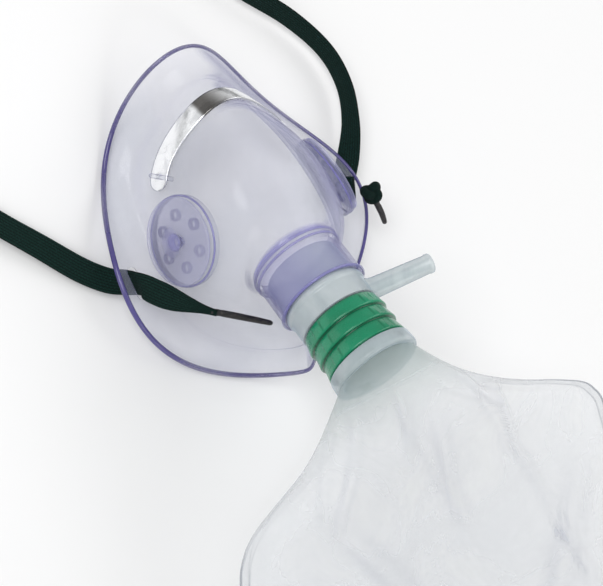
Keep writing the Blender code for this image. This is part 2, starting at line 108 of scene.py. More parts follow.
SLOT_AT, SLOT_SIZE = np.array((44, -1, 12)) * MM, (3.4 * MM, 11 * MM, 14 * MM)

PORT_AT = np.array((30.6, 6.3, 26.3)) * MM
PORT_NORMAL = np.array((0.93, 0.2, 0.31))
VENTS, VENT_RING_R = 6, 8.6 * MM
CLIP_SHARE, CLIP_HALF_ANGLE, CLIP_DROP = 3 / 8, math.radians(58), 0.045

# The shell's grid: points round it and rows from its rim to the turret's mouth.
SHELL_AROUND, SHELL_ROWS = 240, 121
FOLD_SHARE = 0.25  # where the flange folds up into the cheek

NOZZLE_AT, NOZZLE_TURN, NOZZLE_LEAN = 21.9 * MM, math.radians(13.5), math.radians(7)
COLLAR_START, BAND_LENGTH, BANDS = 27.4, 5.3, 3  # in mm along the connector
BAG_SLOPE = math.radians(14)
BAG_NECK_START, BAG_NECK_R, BAG_HALF_THICK = -15 * MM, 11.9 * MM, 1.9 * MM
BAG_AROUND = 320  # points round each section of the bag
FULL_HALF_WIDTH = 0.081  # the half width that the two tables below are drawn for

STRAP_ROUTE = (
    (-29, -19.5, 27.5, -38), (-33, -15.5, 24.5, -36), (-38, -10.5, 21.5, -30), (-42, -5.5, 18.5, -14),
    (-43.8, -2.2, 15.6, -4), (-44, -0.8, 11.5, 0), (-45.5, 0.6, 6.8, 0), (-50, 3.5, 4.2, 0),
    (-57, 10.5, 3.6, 0), (-66, 22, 4, 8), (-76, 34.5, 4.6, 14), (-87, 50, 4.4, 10), (-95.5, 70, 3.4, 4),
    (-94, 92, 3, 0), (-79, 110, 3, 0), (-55, 120, 3.2, 8), (-26, 121, 4, 20), (4, 112, 5, 38),
    (24, 96, 6, 55), (39, 77, 7, 66), (52, 62, 7.6, 72), (60.5, 47, 8, 78), (62.5, 33, 8, 80),
    (59.5, 20, 7.4, 72), (54, 9, 6, 45), (48.5, 2, 5.6, 14), (44.6, -0.2, 8, 0), (43.9, -1.2, 12, 0),
    (44.2, -1.6, 14, 0), (44.8, -2.2, 15.6, 0),
)
KNOT_AT, KNOT_R = np.array((48, -6, 20)) * MM, 4.2 * MM
LEFT_TIP_END, RIGHT_TIP_END = np.array((-12.5, -30.5, 28.5)) * MM, np.array((52.5, -18.5, 13.5)) * MM
WALES = 4.5  # half waves of the knit across half the strap's width

# The bag's half width on each side, in mm, at places along it from its neck's bend.
BAG_LEFT = (
    (-30, 11.9), (-14, 12.2), (-9.6, 16.5), (0, 28), (5.5, 36), (9.3, 45), (12, 54), (16, 63), (22, 68), (32, 71.5),
    (60, 76), (110, 80), (280, 81),
)
BAG_RIGHT = (
    (-30, 11.9), (-14, 12.2), (-6.4, 18), (0, 24.5), (5.5, 31.5), (12, 41), (17.7, 51), (23.4, 63), (30, 75.5),
    (38, 81), (60, 83), (280, 83),
)

# Creases of the bag: start and end across and along it, in mm, then width and height.
CREASES = (
    (-10, -9, -22, 4, 1.7, 1.9), (-22, 4, -32, 16, 1.9, 1.7), (-19, -7, -29, 8, 1.5, -1.4), (-29, 8, -36, 12, 1.5, 1.2),
    (-32, 12, -38, 37, 2.2, 2), (-38, 37, -47, 66, 2.6, 1.9), (-47, 66, -56, 96, 3, 1.7), (-56, 96, -66, 160, 4, 1.4),
    (17, -6, 27, 9, 2.4, 0.9), (27, 9, 37, 28, 3, 0.8), (4, -14, 7, 14, 2.5, 1), (-5, 9, -11, 50, 4, 0.7),
    (30, 34, 6, 84, 5, 0.9), (6, 84, -8, 128, 6, 0.8), (52, 40, 44, 92, 6, 0.6), (-62, 60, -20, 130, 8, 0.7),
    (30, 110, -30, 190, 8, 0.8), (50, 160, 10, 230, 7, 0.7), (-50, 200, 0, 262, 7, -0.7),
)


# --- Numbers and meshes ------------------------------------------------------------------------


def unit(v):
    """The vectors scaled to length one."""
    v = np.asarray(v, float)
    return v / np.maximum(np.linalg.norm(v, axis=-1, keepdims=True), 1e-12)


def smooth(x):
    """Rises from 0 to 1 with level ends: three x squared less two x cubed."""
    x = np.clip(x, 0, 1)
    return x * x * (3 - 2 * x)


def hump(x, width):
    """A Gaussian: 1 at x = 0."""
    return np.exp(-((x / width) ** 2))


def mm(outline):
    """A table in millimetres, in metres."""
    return np.array(outline, float) * MM


def circle(count):
    """Angles round a full turn."""
    return np.arange(count) * 2 * math.pi / count


def grid_faces(rows, columns, closed):
    """Quads between neighbouring rows; closed joins each row's last point to its first."""
    i, j = np.meshgrid(np.arange(rows - 1), np.arange(columns if closed else columns - 1), indexing="ij")
    k = (j + 1) % columns
    corners = [i * columns + j, i * columns + k, (i + 1) * columns + k, (i + 1) * columns + j]
    return np.stack(corners, -1).reshape(-1, 4)


def mesh_from_grid(name, points, finish, closed=False, caps=False, values=None, uv_size=(1, 1)):
    """A grid of points, shaped rows x columns x 3, as an object with a UV map along the grid.
    values holds the point attributes that its finish reads, by name."""
    rows, columns = points.shape[:2]
    polygons = grid_faces(rows, columns, closed).tolist()
    if caps:
        polygons += [list(range(columns))[::-1], list(range((rows - 1) * columns, rows * columns))]
    mesh = bpy.data.meshes.new(name)
    mesh.from_pydata(points.reshape(-1, 3).tolist(), [], polygons)
    uv = mesh.uv_layers.new(name="skin")
    loops = np.empty(len(mesh.loops), np.int32)
    mesh.loops.foreach_get("vertex_index", loops)
    row, column = loops // columns, loops % columns
    table = np.stack([column / (columns - (not closed)) * uv_size[0], row / (rows - 1) * uv_size[1]], 1)
    uv.data.foreach_set("uv", table.astype(np.float32).ravel())
    for key, value in (values or {}).items():
        mesh.attributes.new(key, "FLOAT", "POINT").data.foreach_set("value", np.asarray(value, np.float32).ravel())
    mesh.shade_smooth()
    obj = bpy.data.objects.new(name, mesh)
    bpy.context.scene.collection.objects.link(obj)
    mesh.materials.append(finish)
    return obj


def placed(points, place, axes):
    """Points given in a local frame, moved to place; axes are its X, Y and Z directions."""
    return np.asarray(place) + points @ np.stack(axes)


def axes_along(direction, hint=(0, 0, 1)):
    """X, Y and Z of a frame whose Z is direction and whose X leans towards hint."""
    z = unit(direction)
    x = unit(np.asarray(hint, float) - np.dot(hint, z) * z)
    return x, np.cross(z, x), z


def turned(name, profile, place, axes, finish, segments=96, close=True):
    """A profile of (along, radius) turned about the frame's Z; close joins its end to its start."""
    profile = np.array(list(profile) + ([profile[0]] if close else []), float)
    turn = circle(segments)
    along, radius = profile[:, 0, None], profile[:, 1, None]
    local = np.stack([radius * np.cos(turn), radius * np.sin(turn), along + 0 * turn], -1)
    return weld(mesh_from_grid(name, placed(local, place, axes), finish, closed=True))


def weld(obj):
    """Merges points that meet, as at a pole or a closed profile, and turns every face outwards."""
    work = bmesh.new()
    work.from_mesh(obj.data)
    bmesh.ops.remove_doubles(work, verts=work.verts, dist=1e-6)
    bmesh.ops.recalc_face_normals(work, faces=work.faces)
    work.to_mesh(obj.data)
    work.free()
    obj.data.shade_smooth()
    return obj


def rounded_profile(corners, radius, steps=4):
    """Each corner of a closed (along, radius) outline is replaced by an arc-like curve through its ends."""
    corners = np.array(corners, float)
    before, after = np.roll(corners, 1, 0), np.roll(corners, -1, 0)
    reach_in = np.minimum(radius, np.linalg.norm(before - corners, axis=1) * 0.45)[:, None]
    reach_out = np.minimum(radius, np.linalg.norm(after - corners, axis=1) * 0.45)[:, None]
    a, b = corners + unit(before - corners) * reach_in, corners + unit(after - corners) * reach_out
    t = np.linspace(0, 1, steps)[None, :, None]
    arcs = (1 - t) ** 2 * a[:, None] + 2 * t * (1 - t) * corners[:, None] + t**2 * b[:, None]
    return arcs.reshape(-1, 2)


def tube(name, path, radius, finish, segments=16, closed=False, squash=1.0, up=(0, 0, 1)):
    """A round or flattened section carried along a path; radius is one number or one for each point."""
    path = np.asarray(path, float)
    along = unit(np.roll(path, -1, 0) - np.roll(path, 1, 0) if closed else np.gradient(path, axis=0))
    side = unit(np.cross(along, np.asarray(up, float)))
    out = np.cross(side, along)
    radius = np.broadcast_to(np.asarray(radius, float), len(path))[:, None, None]
    turn = circle(segments)[None, :, None]
    points = path[:, None] + radius * (np.cos(turn) * side[:, None] + squash * np.sin(turn) * out[:, None])
    if closed:
        points = np.concatenate([points, points[:1]])
    return weld(mesh_from_grid(name, points, finish, closed=True, caps=not closed))


def catmull_rom(a, b, c, d, t):
    """The point at t from 0 to 1 on the curve from b to c whose neighbours are a and d."""
    return 0.5 * (2 * b + (c - a) * t + (2 * a - 5 * b + 4 * c - d) * t**2 + (3 * b - a - 3 * c + d) * t**3)


def smooth_route(points, spacing):
    """Points read from a Catmull-Rom curve through the given ones, about spacing apart."""
    table = np.array(points, float)
    ends = np.vstack([2 * table[0] - table[1], table, 2 * table[-1] - table[-2]])
    t = np.arange(0, 1, 0.02)[None, :, None]
    fine = catmull_rom(*(ends[k : len(ends) - 3 + k, None] for k in range(4)), t)
    fine = np.vstack([fine.reshape(-1, table.shape[1]), table[-1:]])
    steps = np.concatenate([[0], np.cumsum(np.linalg.norm(np.diff(fine[:, :3], axis=0), axis=1))])
    wanted = np.linspace(0, steps[-1], int(steps[-1] / spacing) + 1)
    return np.stack([np.interp(wanted, steps, column) for column in fine.T], 1)


# --- The mask's surface ------------------------------------------------------------------------


def around(stations, angle):
    """A point of a ring: x is a sum of sines, and y and z of cosines, through the ring's stations."""
    count = len(stations) - 1
    table = np.array(stations, float) * MM
    steps = np.arange(count + 1)
    ends = np.where((steps == 0) | (steps == count), 0.5, 1.0)
    even = 2 / count * np.cos(np.outer(steps, steps) * math.pi / count) @ (table * ends[:, None]) * ends[:, None]
    odd = 2 / count * np.sin(np.outer(steps, steps) * math.pi / count) @ table
    angle = np.asarray(angle, float)[..., None]
    sines, cosines = np.sin(angle * steps), np.cos(angle * steps)
    return SLOT_LINE + np.stack([sines @ odd[:, 0], cosines @ even[:, 1], cosines @ even[:, 2]], -1)


def turret_ring(angle, along):
    """A circle round the connector's axis, its zero angle up."""
    angle = np.asarray(angle, float)[..., None]
    return TURRET_BASE + AXIS * along + TURRET_R * (np.sin(angle) * SIDE_AXIS + np.cos(angle) * UP_AXIS)


def mask_surface(angle, share):
    """The shell's outer face: angle goes round from the nose, share from the rim to the turret's mouth.
    Between rings the point runs on a Catmull-Rom curve through the ring's own points."""
    rings = [around(s, angle) for s in (RIM, LIP, FOOT, FLANK, BROW, CROWN)]
    rings += [turret_ring(angle, d) for d in (0, TURRET_LENGTH * 0.3, TURRET_LENGTH)]
    rings = np.stack(rings)
    place = np.clip(np.asarray(share, float), 0, 1) * (len(rings) - 1)
    k = np.minimum(place.astype(int), len(rings) - 2)
    t = (place - k)[..., None]
    before, after = np.maximum(k - 1, 0), np.minimum(k + 2, len(rings) - 1)
    spot = np.arange(len(np.atleast_1d(angle)))
    return catmull_rom(rings[before, spot], rings[k, spot], rings[k + 1, spot], rings[after, spot], t)


def surface_outward(angle, share):
    """The unit vector off the shell at each place, away from the face."""
    up = mask_surface(angle, share + 0.01) - mask_surface(angle, share - 0.01)
    along = mask_surface(angle + 0.01, share) - mask_surface(angle - 0.01, share)
    return unit(np.cross(along, up)) * -1


def port_frame(side):
    """The middle and the axes of an exhalation port; side is -1 for left and 1 for right."""
    place = SLOT_LINE + PORT_AT * (side, 1, 1)
    return place, axes_along(PORT_NORMAL * (side, 1, 1))


# --- Finishes ----------------------------------------------------------------------------------


class Finish:
    """A material under construction: each method adds a node and gives its output."""

    def __init__(self, name, colour, roughness, **sockets):
        self.made = bpy.data.materials.new(name)
        self.made.use_nodes = True
        self.nodes, self.links = self.made.node_tree.nodes, self.made.node_tree.links
        self.shader = self.nodes["Principled BSDF"]
        self.shader.inputs["Base Color"].default_value = (*colour, 1)
        self.shader.inputs["Roughness"].default_value = roughness
        for key, value in sockets.items():
            self.shader.inputs[key.replace("_", " ")].default_value = value

    def node(self, kind, **values):
        """A node; each value goes to the socket of that name, or else to the node's own setting."""
        node = self.nodes.new(kind)
        for key, value in values.items():
            if key in node.inputs.keys():
                node.inputs[key].default_value = value
            else:
                setattr(node, key, value)
        return node

    def set_or_link(self, socket, value):
        """A number or a colour is set on the socket; a node's output is linked to it."""
        if isinstance(value, tuple):
            socket.default_value = (*value, 1)
        elif isinstance(value, (int, float)):
            socket.default_value = value
        else:
            self.links.new(value, socket)

    def noise(self, scale, detail=3, distortion=0.0, stretch=(1, 1, 1)):
        """Noise on Object coordinates; scale is in turns per metre."""
        place = self.node("ShaderNodeTexCoord")
        mapping = self.node("ShaderNodeMapping", Scale=stretch)
        self.links.new(place.outputs["Object"], mapping.inputs["Vector"])
        noise = self.node("ShaderNodeTexNoise", Scale=scale, Detail=detail, Distortion=distortion)
        self.links.new(mapping.outputs["Vector"], noise.inputs["Vector"])
        return noise.outputs["Fac"]

    def math(self, operation, *values, clamp=False):
        """One step of arithmetic."""
        node = self.node("ShaderNodeMath", operation=operation, use_clamp=clamp)
        for socket, value in zip(node.inputs, values):
            self.set_or_link(socket, value)
        return node.outputs["Value"]

    def most(self, first, *others):
        """The greatest of several values, held between 0 and 1."""
        for other in others[:-1]:
            first = self.math("MAXIMUM", first, other)
        return self.math("MAXIMUM", first, others[-1], clamp=True)

    def scaled(self, value, factor):
        return self.math("MULTIPLY", value, factor)

    def span(self, value, low, high, to_low=0.0, to_high=1.0):
        """Goes smoothly from to_low to to_high while the value goes from low to high."""
        node = self.node("ShaderNodeMapRange", interpolation_type="SMOOTHSTEP")
        for key, number in (("From Min", low), ("From Max", high), ("To Min", to_low), ("To Max", to_high)):
            node.inputs[key].default_value = number
        self.links.new(value, node.inputs["Value"])
        return node.outputs["Result"]

    def mix(self, share, a, b):
        """Colour a, going to colour b as share goes to 1."""
        node = self.node("ShaderNodeMix", data_type="RGBA")
        for socket, value in ((node.inputs["Factor"], share), (node.inputs[6], a), (node.inputs[7], b)):
            self.set_or_link(socket, value)
        return node.outputs[2]

    def attribute(self, name):
        """A point attribute of the piece."""
        return self.node("ShaderNodeAttribute", attribute_name=name).outputs["Fac"]

    def grazing(self, low, high):
        """Rises to 1 where the surface turns edge on."""
        return self.span(self.node("ShaderNodeLayerWeight", Blend=0.5).outputs["Facing"], low, high)

    def bump(self, height, strength, distance):
        """Fine relief."""
        bump = self.node("ShaderNodeBump", Strength=strength, Distance=distance)
        self.links.new(height, bump.inputs["Height"])
        self.links.new(bump.outputs["Normal"], self.shader.inputs["Normal"])

    def feed(self, socket, value):
        """Links a value to one of the shader's sockets."""
        self.links.new(value, self.shader.inputs[socket])


def settings():
    """The sizes, colours and view that a user may change."""
    return bpy.context.scene.oxygen_mask


def clear_vinyl():
    """Soft clear vinyl: nearly clear face on, violet and denser at grazing angles and where it is thick."""
    pale = tuple(settings().vinyl_colour)
    finish = Finish("shell_vinyl", pale, 0.09, Specular_IOR_Level=0.6)
    thick, grazing, cloud = finish.attribute("thick"), finish.grazing(0.25, 0.98), finish.noise(38, 3, 0.4)
    base = finish.mix(finish.span(cloud, 0.35, 0.7), (0.54, 0.56, 0.74), pale)
    base = finish.mix(thick, base, (0.2, 0.175, 0.56))
    finish.feed("Base Color", finish.mix(grazing, base, (0.27, 0.27, 0.52)))
    clear = finish.math("MULTIPLY_ADD", finish.span(cloud, 0.3, 0.75), 0.09, 0.1)
    finish.feed("Alpha", finish.most(clear, finish.scaled(grazing, 0.6), finish.scaled(thick, 0.6)))
    finish.bump(finish.noise(160, 2), 0.12, 0.0006)
    return finish.made


def rim_vinyl():
    """The thick moulded edge, where the tint of the vinyl gathers."""
    finish = Finish("rim_vinyl", (0.14, 0.12, 0.4), 0.12, Specular_IOR_Level=0.7)
    finish.feed("Base Color", finish.mix(finish.noise(60), (0.035, 0.025, 0.15), (0.14, 0.12, 0.36)))
    finish.feed("Alpha", finish.span(finish.noise(22, 2), 0.35, 0.65, 0.45, 0.95))
    return finish.made


def rolled_aluminium():
    """Bright strip with fine lines from the rolls along it and light scuffs, with a dark reflection painted into its
    colour over the bridge.
    """
    finish = Finish("rolled_aluminium", (0.86, 0.87, 0.89), 0.22, Metallic=1.0)
    lines, scuffs = finish.noise(900, 3, 0, (0.06, 1, 1)), finish.noise(240, 4, 0.6)
    finish.feed("Roughness", finish.span(scuffs, 0.3, 0.8, 0.14, 0.36))
    bright = finish.mix(finish.span(scuffs, 0.45, 0.8), (0.95, 0.96, 0.98), (0.84, 0.85, 0.88))
    # Painted reflection: the colour goes nearly black over the bridge.
    finish.feed("Base Color", finish.mix(finish.attribute("painted_dark_reflection"), bright, (0.13, 0.125, 0.12)))
    finish.bump(lines, 0.15, 0.0002)
    return finish.made


def soft_silicone():
    """Milky soft disc, denser at its thick edge."""
    finish = Finish("soft_silicone", (0.8, 0.81, 0.93), 0.32, Specular_IOR_Level=0.45)
    grazing, cloud = finish.grazing(0.3, 0.95), finish.noise(70, 3)
    body = finish.mix(cloud, (0.52, 0.52, 0.78), (0.66, 0.67, 0.86))
    finish.feed("Base Color", finish.mix(grazing, body, (0.36, 0.35, 0.68)))
    finish.feed("Alpha", finish.most(finish.span(cloud, 0.2, 0.8, 0.2, 0.32), finish.scaled(grazing, 0.8)))
    finish.bump(finish.noise(420, 2), 0.1, 0.0004)
    return finish.made


def milky_plastic():
    """Milky polyethylene: cloudy, with a faint flow pattern from moulding."""
    pale = tuple(settings().milky_colour)
    finish = Finish("moulded_milky", pale, 0.26, Specular_IOR_Level=0.5)
    grazing, cloud = finish.grazing(0.35, 0.97), finish.noise(55, 4, 0.8, (1, 0.5, 1))
    body = finish.mix(finish.span(cloud, 0.3, 0.72), (0.54, 0.62, 0.65), pale)
    finish.feed("Base Color", finish.mix(grazing, body, (0.42, 0.53, 0.6)))
    finish.feed("Alpha", finish.most(finish.span(cloud, 0.2, 0.8, 0.5, 0.68), grazing))
    finish.bump(finish.noise(300, 2), 0.08, 0.0004)
    return finish.made


def green_plastic():
    """Glossy emerald collar with shade painted into its grooves, and faint moulding flow."""
    bright = tuple(settings().collar_colour)
    finish = Finish("collar_green", bright, 0.24, Specular_IOR_Level=0.55, Coat_Weight=0.25)
    flow = finish.span(finish.noise(45, 4, 1.2, (1, 1, 0.6)), 0.3, 0.7)
    body = finish.mix(flow, (0.0, 0.19, 0.085), bright)
    # Painted shade: the grooves, the pads' edges and the mould line's notch go nearly black.
    finish.feed("Base Color", finish.mix(finish.attribute("painted_shade"), body, (0.0, 0.07, 0.03)))
    finish.feed("Roughness", finish.span(finish.noise(300), 0.3, 0.7, 0.2, 0.34))
    return finish.made


def bag_film():
    """Frosted film, denser and greyer over the welds, denser along creases with grey shade painted there, faintly green
    inside the neck.
    """
    pale = tuple(settings().film_colour)
    finish = Finish("frosted_film", pale, 0.34, Specular_IOR_Level=0.45)
    seal, painted_crease_shade, neck = (finish.attribute(name) for name in ("weld", "painted_crease_shade", "neck"))
    cloud, grazing = finish.noise(26, 4, 1.0), finish.grazing(0.4, 0.98)
    body = finish.mix(finish.span(cloud, 0.35, 0.68), (0.7, 0.73, 0.77), pale)
    body = finish.mix(finish.scaled(neck, 0.65), body, (0.24, 0.36, 0.33))
    # Painted shade: grey along the sides of the creases.
    body = finish.mix(painted_crease_shade, body, (0.36, 0.39, 0.47))
    finish.feed("Base Color", finish.mix(seal, body, (0.25, 0.28, 0.33)))
    parts = [finish.scaled(*part) for part in ((neck, 0.5), (grazing, 0.6), (painted_crease_shade, 0.5), (seal, 0.5))]
    finish.feed("Alpha", finish.most(finish.span(cloud, 0.25, 0.75, 0.2, 0.4), *parts))
    finish.bump(finish.noise(30, 1), 0.05, 0.0008)
    return finish.made


def knitted_elastic():
    """Dark green elastic: wales run along the band and each is crossed by small stitches; shade is painted nearly black
    in the troughs between the wales. The UV map's X goes once round the band and its Y is the length along it in
    metres."""
    bright = tuple(settings().strap_colour)
    finish = Finish("knitted_elastic", bright, 0.88, Specular_IOR_Level=0.2)
    parts = finish.node("ShaderNodeSeparateXYZ")
    finish.links.new(finish.node("ShaderNodeUVMap", uv_map="skin").outputs["UV"], parts.inputs["Vector"])
    round_it, along_it = parts.outputs["X"], parts.outputs["Y"]
    threads = finish.math("SINE", finish.scaled(round_it, 2 * math.pi * 16))
    across = finish.math("COSINE", finish.scaled(round_it, 2 * math.pi))
    wale = finish.math("ABSOLUTE", finish.math("COSINE", finish.scaled(across, WALES * math.pi)))
    stitches = finish.math("SINE", finish.scaled(along_it, 2 * math.pi * 900))
    knit = finish.math("MULTIPLY_ADD", finish.math("MULTIPLY", threads, stitches), 0.5, 0.5)
    fuzz = finish.noise(1500, 3)
    shade = finish.mix(finish.span(fuzz, 0.3, 0.75), (0.0012, 0.011, 0.0085), bright)
    shade = finish.mix(finish.scaled(knit, 0.45), shade, (0.006, 0.036, 0.029))
    # Painted shade: the troughs between the wales go nearly black.
    finish.feed("Base Color", finish.mix(finish.span(wale, 0.1, 0.62), (0.0004, 0.003, 0.0025), shade))
    finish.bump(finish.math("ADD", knit, finish.scaled(fuzz, 0.7)), 0.7, 0.0003)
    return finish.made


def shrunk_sleeve():
    """Black sleeve shrunk on the strap's end, a little scuffed."""
    finish = Finish("shrunk_sleeve", (0.02, 0.018, 0.018), 0.38)
    wear = finish.noise(700, 4, 0.5)
    finish.feed("Base Color", finish.mix(finish.span(wear, 0.5, 0.8), (0.012, 0.011, 0.012), (0.06, 0.05, 0.05)))
    finish.feed("Roughness", finish.span(wear, 0.3, 0.8, 0.28, 0.6))
    finish.bump(finish.noise(500), 0.3, 0.0003)
    return finish.made


def pale_floor():
    """A matt, nearly white sheet."""
    finish = Finish("pale_floor", (0.9, 0.9, 0.9), 0.9, Specular_IOR_Level=0.05)
    finish.feed("Base Color", finish.mix(finish.noise(3, 2), (0.89, 0.89, 0.89), (0.91, 0.91, 0.91)))
    return finish.made


MADE = {}


def material(maker):
    """The finish that a function makes, made the first time that it is asked for."""
    if maker not in MADE:
        MADE[maker] = maker()
    return MADE[maker]


def tinted(obj, amount):
    """Gives the whole piece one depth of tint."""
    shade = obj.data.attributes.get("thick") or obj.data.attributes.new("thick", "FLOAT", "POINT")
    shade.data.foreach_set("value", np.full(len(obj.data.vertices), amount, np.float32))
    return obj


def own(obj, body, slot, *nodes):
    """The piece rides on a body and stands for CAD nodes; slot is not used."""
    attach(obj, body)
    if nodes:
        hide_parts(*nodes)
    return obj


def on_shell(obj, tint=None):
    """A clear part moulded on the shell; tint from 0 to 1 is the depth of its colour."""
    return own(obj if tint is None else tinted(obj, tint), "mask", "clear_vinyl")


# --- Pieces ------------------------------------------------------------------------------------


def make_camera():
    """The view from above and to the left, turned about the line of sight."""
    place = SLOT_LINE + np.array((0, 0, 7.5)) * MM + np.array(settings().view_from) * settings().view_distance
    right = unit(np.cross(settings().view_up, settings().view_back))
    back = unit(settings().view_back)
    up = np.cross(back, right)
    camera = bpy.data.cameras.new("camera")
    camera.lens = settings().lens
    camera.sensor_width = 36
    camera.clip_start = 0.01
    obj = bpy.data.objects.new("camera", camera)
    bpy.context.scene.collection.objects.link(obj)
    turn = Matrix(np.stack([right, up, back], 1).tolist()).to_4x4()
    obj.matrix_world = Matrix.Translation(Vector(place)) @ turn
    bpy.context.scene.camera = obj


def strap_lines():
    """The strap's centreline, and the directions across and out of the band at each point."""
    table = np.array(STRAP_ROUTE, float)
    table[:, :3] *= MM
    table[:, 3] = np.radians(table[:, 3])
    route = smooth_route(table, 1.25 * MM)
    path, rolls = route[:, :3], route[:, 3]
    along = unit(np.gradient(path, axis=0))
    side = np.stack([-along[:, 1], along[:, 0], np.zeros(len(along))], 1)
    slot_way = np.stack([np.zeros(len(along)), np.sign(path[:, 0]), np.zeros(len(along))], 1)
    steep = np.abs(along[:, 2]) > 0.75
    slotted = (np.abs(np.abs(path[:, 0]) - SLOT_AT[0]) < 4.5 * MM) & (np.abs(path[:, 1]) < 6 * MM)
    side = unit(np.where((steep | slotted)[:, None], slot_way, side))
    kernel = np.ones(13) / 13
    side = np.stack([np.convolve(np.pad(c, 6, mode="edge"), kernel, "valid") for c in side.T], 1)
    side = unit(side - (side * along).sum(1)[:, None] * along)
    up = np.cross(along, side)
    across = side * np.cos(rolls)[:, None] + up * np.sin(rolls)[:, None]
    return SLOT_LINE + path, across, np.cross(along, across)


def make_strap():
    """The band's section is a flat loop whose thickness swells at each wale: a cosine across its width.
    The band narrows where it goes into its left tip."""
    path, across, out = strap_lines()
    width, thick = settings().strap_width, settings().strap_thickness
    turn = circle(96)
    u = np.cos(turn)
    flat = np.sign(np.sin(turn)) * np.abs(np.sin(turn)) ** 0.35
    wales = 0.78 + 0.22 * np.abs(np.cos(u * math.pi * WALES))
    half = thick / 2 * flat * wales
    length = np.linalg.norm(np.diff(path, axis=0), axis=1).sum()
    taper = np.ones(len(path))
    taper[:16] = 0.26 + 0.74 * smooth(np.linspace(0, 1, 16))
    points = path[:, None] + across[:, None] * (u * width / 2)[None, :, None] * taper[:, None, None]
    points = points + out[:, None] * half[None, :, None]
    knit = material(knitted_elastic)
    strap = weld(mesh_from_grid("head_strap", points, knit, closed=True, caps=True, uv_size=(1, length)))
    own(strap, "mask", "green_elastic", "strap")
    way_out = SLOT_LINE + KNOT_AT + unit(RIGHT_TIP_END - KNOT_AT) * KNOT_R
    pieces = [
        make_knot(),
        make_aglet("left_tip", path[2], SLOT_LINE + LEFT_TIP_END, "left_aglet"),
        make_aglet("right_tip", way_out, SLOT_LINE + RIGHT_TIP_END, "right_aglet"),
    ]


def make_knot():
    """An overhand knot's lump: a thick tube on a three-lobed curve, x = sin t + 2 sin 2t and so on."""
    t = circle(120)
    curve = np.stack([np.sin(t) + 2 * np.sin(2 * t), np.cos(t) - 2 * np.cos(2 * t), -1.3 * np.sin(3 * t)], 1)
    path = SLOT_LINE + KNOT_AT + curve * np.array((1.02, 0.8, 0.85)) * MM
    knot = tube("strap_knot_band", path, 1.75 * MM, material(knitted_elastic), 20, closed=True, squash=0.9)
    return own(knot, "mask", "green_elastic", "strap_knot")


def make_aglet(name, start, end, node):
    """A crimped sleeve: its radius dips twice near the band and narrows at the tip."""
    share = np.linspace(0, 1, 48)
    crimps = hump(share - 0.08, 0.025) + hump(share - 0.16, 0.025)
    round_ends = np.sqrt(np.clip(1 - ((share - 0.5) / 0.5) ** 24, 0.02, 1))
    radius = 1.15 * MM * (1 - 0.1 * crimps) * (1 - 0.25 * share**3) * round_ends
    path = start + (end - start) * share[:, None]
    path = path + np.array((0, 0, 1)) * (np.sin(share * math.pi) * 0.6 * MM)[:, None]
    return own(tube(name, path, radius, material(shrunk_sleeve), 24), "mask", "black_plastic", node)


def make_shell():
    """The shell's grid, with a low ridge at its fold, given a wall, with slots cut through the flange. Its tint
    gathers on the turret, at the rim and at the fold, where the vinyl is thick."""
    angles, shares = circle(SHELL_AROUND), np.linspace(0, 1, SHELL_ROWS)
    rows = [np.full(SHELL_AROUND, share) for share in shares]
    ridge = 0.45 * MM * hump(shares - FOLD_SHARE, 0.012)
    points = np.stack([mask_surface(angles, row) for row in rows])
    points = points + np.stack([surface_outward(angles, row) for row in rows]) * ridge[:, None, None]
    turret = 0.62 * smooth((shares - TURRET_SHARE + 0.03) / 0.05)[:, None] * (0.7 + 0.3 * np.abs(np.sin(angles)))
    edges = 0.22 * hump(shares - FOLD_SHARE, 0.02) + 0.5 * hump(shares, 0.012) + 0.35 * hump(1 - shares, 0.012)
    edges = edges + 0.5 * hump(shares - TURRET_SHARE - 0.005, 0.008)
    thick = np.clip(turret + edges[:, None], 0, 1)
    shell = mesh_from_grid("mask_body", points, material(clear_vinyl), closed=True, values={"thick": thick})
    middle = shell.data.polygons[SHELL_AROUND * 40]
    if np.array(middle.normal) @ (np.array(middle.center) - TURRET_BASE) < 0:
        shell.data.flip_normals()
    wall = shell.modifiers.new("wall", "SOLIDIFY")
    wall.thickness, wall.offset = settings().wall, -1
    own(shell, "mask", "clear_vinyl", "mask_shell")
    for side in (-1, 1):
        cut_slot(shell, side)
    apply_modifiers(shell)


def make_rim_and_rings():
    """The rim's bead, heavier on the left, and the rings round the turret's root and mouth."""
    angles = circle(SHELL_AROUND)
    path = mask_surface(angles, np.full(SHELL_AROUND, 0.004))
    bead = 0.62 * MM + 0.28 * MM * np.clip(0.2 - np.sin(angles), 0, 1)
    on_shell(tube("rim_bead", path, bead, material(rim_vinyl), 14, closed=True))
    for name, along, proud in (
        ("turret_root_ring", 1.6 * MM, 0.25 * MM), ("turret_root_ring_2", 3.4 * MM, 0.1 * MM),
        ("turret_mouth_ring", 17.8 * MM, 0.1 * MM),
    ):
        ring = turret_ring(angles, along)
        ring = ring + unit(ring - TURRET_BASE - AXIS * along) * proud
        on_shell(tube(name, ring, 0.42 * MM, material(clear_vinyl), 10, closed=True, up=AXIS), 0.75)


def cut_slot(shell, side):
    """A long rounded slot cut through the flange for the strap."""
    wide, long, tall = SLOT_SIZE
    turn = circle(32)
    x = wide / 2 * np.sign(np.cos(turn)) * np.abs(np.cos(turn)) ** 0.5
    y = long / 2 * np.sign(np.sin(turn)) * np.abs(np.sin(turn)) ** 0.35
    rows = np.stack([np.stack([x, y, np.full(32, z)], 1) for z in (-tall / 2, tall / 2)])
    rows = rows + SLOT_LINE + SLOT_AT * (side, 1, 1)
    cutter = weld(mesh_from_grid(f"slot_tool_{side}", rows, material(clear_vinyl), closed=True, caps=True))
    cut = shell.modifiers.new("slot", "BOOLEAN")
    cut.operation, cut.object, cut.solver = "DIFFERENCE", cutter, "EXACT"


